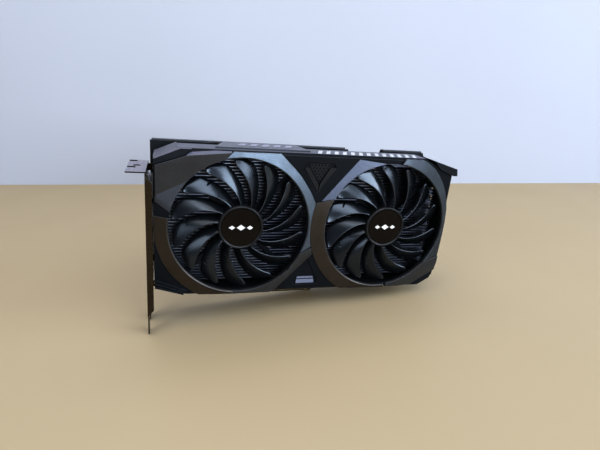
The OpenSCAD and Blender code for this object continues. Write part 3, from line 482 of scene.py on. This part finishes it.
def face_slot(node, face):
    """The slot of a face that stands out from its node's surface, or else the one it has."""
    normal, height = face.normal, face.calc_center_median().z
    # The tab's side faces, its slot walls among them, are painted black: painted shade in the
    # slots and along the edges
    if node == "bracket_tab" and abs(normal.z) < STRAIGHT:
        return EDGE_SLOT
    if node == "top_badge":
        # The top badge's front faces: painted shade
        if normal.y < -STRAIGHT:
            return PAINTED_FACET_SLOT
        if height > BADGE_RAISED:
            return UPPER_SLOT
    # The left panel's creased end: a painted reflection, lighter and bluer than the panel
    if node == "upper_left_panel" and normal.y < -STRAIGHT and normal.z < -CREASED:
        return PAINTED_FACET_SLOT
    if node == "shroud" and normal.y < -CHAMFER:
        return face.material_index
    # Faces that look up near the top get a painted sheen
    if node in SKY_NODES and normal.z > SKY_SLOPE and height > SKY_FROM:
        return UPPER_SLOT
    return face.material_index


def softened(node, surface, edge, width):
    """The CAD node's own shape with its sharp outer edges rounded by width in mm."""
    shape = bmesh.new()
    shape.from_mesh(NODES[node].data)
    bmesh.ops.remove_doubles(shape, verts=shape.verts, dist=WELD)
    bmesh.ops.dissolve_limit(shape, angle_limit=FLAT, verts=shape.verts, edges=shape.edges)
    shape.normal_update()
    if node == "upper_left_panel":
        crease_left_panel(shape)
    sharp = [e for e in shape.edges if width and is_sharp(e, width)]
    if sharp:
        bmesh.ops.bevel(shape, geom=sharp, offset=width * MM, offset_type="OFFSET",
                        segments=ROUND_STEPS, profile=ROUND_SHAPE, affect="EDGES",
                        clamp_overlap=False, material=EDGE_SLOT)
    shape.normal_update()
    for face in shape.faces:
        face.material_index = face_slot(node, face)
    mesh = mesh_from(shape, node + "_form")
    piece = linked(mesh.name, mesh)
    set_materials(piece, surface, edge, UPPER_FINISH.get(node, OTHER_UPPER_FINISH),
                  PAINTED_FACET_FINISH)
    smooth(mesh, SMOOTH_DEG)
    weighted = piece.modifiers.new("weighted", "WEIGHTED_NORMAL")
    weighted.keep_sharp = True
    stand_for(piece, node)


# ---------------------------------------------------------------- fans

# The blades follow the CAD rotor: root and tip radius in mm, and depths in mm measured back
# from the hub's front face. A blade's rear edge is t = 0 and its front edge t = 1.
HUB_R, TIP_R = 15.8, 46.7
BLADES = 14
# How far the tip trails round, and half the blade's angle at its root and what it gains on the
# way out, in degrees
SWEEP_DEG, ROOT_HALF_DEG, HALF_GAIN_DEG = 32, 7.4, 2.2
# The share of the blade's length where its tip starts to round off, and over how much it does
ROUND_OFF_AT, ROUND_OFF_OVER = 0.86, 0.155
# The root widens into the hub by this many degrees on each side, over this length in mm
FLARE_DEG, FLARE_OVER = 1.6, 2.4
# Depth of the rear edge, the front edge's rise at the root and what it loses, and the camber
BLADE_BACK, BLADE_RISE, RISE_LOSS, CAMBER = 9.6, 7.2, 2, 0.5
# Thickness in mm: in the middle and at the least, then what is added to the distance from a
# side edge or the tip, and the distance over which the blade thins out there. A blade is about
# HALF_PER_R of its radius wide on each side of its middle.
THICK, THINNEST = 1.15, 0.12
SIDE_ADDED, SIDE_OVER, HALF_PER_R = 0.02, 0.8, 0.16
TIP_ADDED, TIP_OVER = 0.05, 1.0
# Grooves: radii, half width and depth in mm, how far across the blade they run, and the share
# of its width over which they end
GROOVES_AT, GROOVE_HALF, GROOVE_DEPTH = (27, 36.5), 0.55, 0.95
GROOVE_TO, GROOVE_END = 0.32, 0.06
# Rows of points along a blade, close together at the root and the tip: first radius, step and
# count. A grooved blade has more rows, by steps on each side of its grooves.
BLADE_ROWS = ((HUB_R - 0.6, 0.5, 5), (18.5, 1.25, 21), (44, 0.3, 10))
GROOVE_STEP, GROOVE_ROWS = 0.22, range(-4, 8)
# Points across a blade, close together at its edges and where a groove ends
BLADE_SHARES = (0, 0.025, 0.06, 0.11, 0.17, 0.24, 0.32, 0.41, 0.5, 0.55, 0.6, 0.68, 0.76, 0.83,
                0.89, 0.94, 0.975, 1)
# The hub's outline as radius and depth, and the rounding of its corners, in mm
HUB_PROFILE = ((1, 1.9), (13.7, 1.9), (13.7, 0.5), (14.4, 0), (15.1, 0), (15.8, 0.9),
               (15.8, 10), (14.3, 10), (14.3, 3.2), (3.2, 3.2), (3.2, 5), (1, 5))
HUB_ROUNDING, CORNER_STEPS, CORNER_LIMIT = 0.3, 4, 0.45
LATHE_TURNS = 128
# The diamonds of a hub disc in mm: place across the disc, half width and half height, and the
# depths of their back and front from the disc's face
DIAMONDS = ((-6.2, 2.2, 1.5), (0, 3.0, 2.1), (6.2, 2.2, 1.5))
DIAMOND_DEPTHS = (0.02, -0.05)
# Side, angle of the first blade's root in degrees, and whether even or odd blades are grooved
FANS = (("left", 7.9, 0), ("right", 10.7, 1))


def lathe(name, profile):
    """A ring-shaped mesh turned around Y from (radius, depth) points, closed on itself."""
    shape = bmesh.new()
    turns = [2 * math.pi * i / LATHE_TURNS for i in range(LATHE_TURNS)]
    rings = [[shape.verts.new((r * math.cos(a), y, r * math.sin(a))) for r, y in profile]
             for a in turns]
    for i, ring in enumerate(rings):
        following = rings[(i + 1) % LATHE_TURNS]
        for j in range(len(profile)):
            k = (j + 1) % len(profile)
            shape.faces.new((ring[j], following[j], following[k], ring[k]))
    bmesh.ops.recalc_face_normals(shape, faces=shape.faces)
    return mesh_from(shape, name)


def rounded_profile(corners, radius):
    """The closed outline through corners with every corner rounded off."""
    points = []
    for i, here in enumerate(corners):
        here = Vector(here)
        back = Vector(corners[i - 1]) - here
        on = Vector(corners[(i + 1) % len(corners)]) - here
        cut = min(radius, CORNER_LIMIT * back.length, CORNER_LIMIT * on.length)
        start, end = here + back.normalized() * cut, here + on.normalized() * cut
        for j in range(CORNER_STEPS + 1):
            t = j / CORNER_STEPS
            points.append(start * (1 - t) ** 2 + here * 2 * t * (1 - t) + end * t * t)
    return points


def blade_at(r, t):
    """Angle in degrees and rear-face depth of a blade, at radius r and share t of its width."""
    k = (r - HUB_R) / (TIP_R - HUB_R)
    half = ROOT_HALF_DEG + HALF_GAIN_DEG * k
    if k > ROUND_OFF_AT:
        half *= math.sqrt(max(0, 1 - ((k - ROUND_OFF_AT) / ROUND_OFF_OVER) ** 2))
    half += FLARE_DEG * max(0, 1 - (r - HUB_R) / FLARE_OVER) ** 2
    rise = (BLADE_RISE - RISE_LOSS * k) * t
    return SWEEP_DEG * k + (2 * t - 1) * half, BLADE_BACK - rise - CAMBER * math.sin(math.pi * t)


def blade_thickness(r, t, grooved):
    """Thin rounded edges, and on a grooved blade two short arcs pressed into its front face."""
    side = min(t, 1 - t) * 2 * (HALF_PER_R * r)
    tip = TIP_R - r
    thick = THICK * min(1, math.sqrt(max(0, side + SIDE_ADDED) / SIDE_OVER)) * min(
        1, math.sqrt(max(0, tip + TIP_ADDED) / TIP_OVER))
    if grooved:
        for at in GROOVES_AT:
            across = abs(r - at) / GROOVE_HALF
            if across < 1 and t < GROOVE_TO:
                thick -= GROOVE_DEPTH * (1 - across ** 4) * min(1, (GROOVE_TO - t) / GROOVE_END)
    return max(THINNEST, thick)


def blade_radii(grooved):
    radii = [first + step * i for first, step, count in BLADE_ROWS for i in range(count)]
    if grooved:
        radii += [at + GROOVE_STEP * i for at in GROOVES_AT for i in GROOVE_ROWS]
    return sorted(set(round(min(r, TIP_R), 3) for r in radii))


def add_blade(shape, turn, grooved):
    """One blade, turned by an angle in degrees, as two skins joined around their border."""
    radii = blade_radii(grooved)
    skins = []
    for side in (0, 1):
        skin = []
        for r in radii:
            row = []
            for t in BLADE_SHARES:
                angle, back = blade_at(r, t)
                depth = back - side * blade_thickness(r, t, grooved)
                a = math.radians(turn + angle)
                row.append(shape.verts.new((r * math.cos(a) * MM, depth * MM,
                                            r * math.sin(a) * MM)))
            skin.append(row)
        skins.append(skin)
    rear, front = skins
    last, end = len(radii) - 1, len(BLADE_SHARES) - 1
    for i in range(last):
        for j in range(end):
            shape.faces.new((rear[i][j], rear[i + 1][j], rear[i + 1][j + 1], rear[i][j + 1]))
            shape.faces.new((front[i][j], front[i][j + 1], front[i + 1][j + 1],
                             front[i + 1][j]))
        for j, (a, b) in ((0, (i, i + 1)), (end, (i + 1, i))):
            shape.faces.new((rear[a][j], front[a][j], front[b][j], rear[b][j]))
    for j in range(end):
        for i, (a, b) in ((0, (j + 1, j)), (last, (j, j + 1))):
            shape.faces.new((rear[i][a], front[i][a], front[i][b], rear[i][b]))


def fan_front(side):
    """The point on a fan's axis level with the front of its hub."""
    disc_low, disc_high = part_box(side + "_hub_label")
    middle = (disc_low + disc_high) / 2
    return Vector((middle.x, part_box(side + "_rotor")[0].y, middle.z))


def make_rotor(side, phase, first_grooved):
    """Hub and blades of one fan; phase is the angle of its first blade's root."""
    shape = bmesh.new()
    for i in range(BLADES):
        add_blade(shape, phase + i * 360 / BLADES, i % 2 == first_grooved)
    bmesh.ops.recalc_face_normals(shape, faces=shape.faces)
    blades = mesh_from(shape, side + "_blades")
    hub = lathe(side + "_hub", [(r * MM, y * MM)
                                for r, y in rounded_profile(HUB_PROFILE, HUB_ROUNDING)])
    for mesh, material in ((blades, "blade_black"), (hub, "hub_black")):
        piece = linked(mesh.name + "_form", mesh)
        piece.location = fan_front(side)
        set_materials(piece, material)
        smooth(mesh, ROTOR_SMOOTH_DEG)
        stand_for(piece, side + "_rotor")


def make_hub_mark(side):
    """A plain row of three small diamonds on a fan's hub disc."""
    shape = bmesh.new()
    centre = fan_front(side)
    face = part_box(side + "_hub_label")[0].y
    for dx, half_w, half_h in DIAMONDS:
        corners = [(dx - half_w, 0), (dx, -half_h), (dx + half_w, 0), (dx, half_h)]
        back, front = [[shape.verts.new((centre.x + x * MM, face + y * MM, centre.z + z * MM))
                        for x, z in corners] for y in DIAMOND_DEPTHS]
        for i in range(4):
            j = (i + 1) % 4
            shape.faces.new((back[i], back[j], front[j], front[i]))
        shape.faces.new(front)
        shape.faces.new(back[::-1])
    bmesh.ops.recalc_face_normals(shape, faces=shape.faces)
    piece = linked(side + "_hub_mark", mesh_from(shape, side + "_hub_mark"))
    set_materials(piece, "print_silver")
    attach(piece, BODY_OF[side + "_hub_label"])


for node, (surface, edge, width) in DRESS.items():
    softened(node, surface, edge, width)
for node, piece in NODES.items():
    if node not in DRESS:
        set_materials(piece, PLAIN[node.split("_", 1)[1] if node.startswith(SIDES) else node])
for side, phase, first_grooved in FANS:
    make_rotor(side, phase, first_grooved)
for side, *_ in FANS:
    make_hub_mark(side)


# ---------------------------------------------------------------- stage and light

# The floor starts behind the camera, and the wall stands on its far end; in metres
FLOOR_START, WALL_AT, WALL_TOP, STAGE_HALF = -2.5, 0.40, 1.6, 3
CARD_MIDDLE = Vector((0.11, 0, 0.01))
# Name, place from the card's middle and size in metres, power in watts and colour
LIGHTS = (
    ("ceiling_light", (-0.35, -0.1, 1.3), (1.7, 1.3), 17, (1, 0.97, 0.97)),
    ("high_window", (0.22, -0.85, 1.05), (0.8, 0.5), 9, (0.78, 0.86, 1)),
    ("front_window", (0.53, -1.97, 0.45), (1.3, 0.5), 37, (0.74, 0.84, 1)),
    ("right_window", (1.9, -1.08, 1.08), (1.6, 1.02), 62, (0.74, 0.85, 1)),
    ("left_fill", (-1.3, -0.7, 0.5), (0.8, 0.8), 8, (0.8, 0.88, 1)),
    ("rear_fill", (0.0, 0.34, 0.75), (0.7, 0.3), 2.2, (0.9, 0.94, 1)),
)
ROOM_COLOR, ROOM_STRENGTH = (0.62, 0.68, 0.8, 1), 0.12


def stage_sheet(name, start, end, material):
    """A flat sheet across the camera's view, between two lines given as (ahead, up)."""
    corners = [STAGE @ Vector((side * STAGE_HALF, *line))
               for line in (start, end) for side in (-1, 1)]
    mesh = bpy.data.meshes.new(name)
    mesh.from_pydata(corners, [], [(0, 1, 3, 2)])
    mesh.materials.append(MATERIALS[material])
    sheet = linked(name, mesh)


def soft_light(name, offset, size, power, color):
    """A rectangular area light that faces the card."""
    data = bpy.data.lights.new(name, "AREA")
    data.shape = "RECTANGLE"
    data.size, data.size_y = size
    data.energy = power
    data.color = color
    place = CARD_MIDDLE + Vector(offset)
    facing = (CARD_MIDDLE - place).to_track_quat("-Z", "Y").to_matrix().to_4x4()
    linked(name, data).matrix_world = Matrix.Translation(place) @ facing


stage_sheet("floor", (FLOOR_START, 0), (WALL_AT, 0), "floor_pale")
stage_sheet("wall", (WALL_AT, 0), (WALL_AT, WALL_TOP), "wall_pale")
for light in LIGHTS:
    soft_light(*light)
world = bpy.data.worlds.new("world")
bpy.context.scene.world = world
world.use_nodes = True
background = world.node_tree.nodes["Background"]
background.inputs["Color"].default_value = ROOM_COLOR
background.inputs["Strength"].default_value = ROOM_STRENGTH
bpy.context.scene.view_settings.view_transform = "Standard"
bpy.context.scene.view_settings.look = "Medium High Contrast"
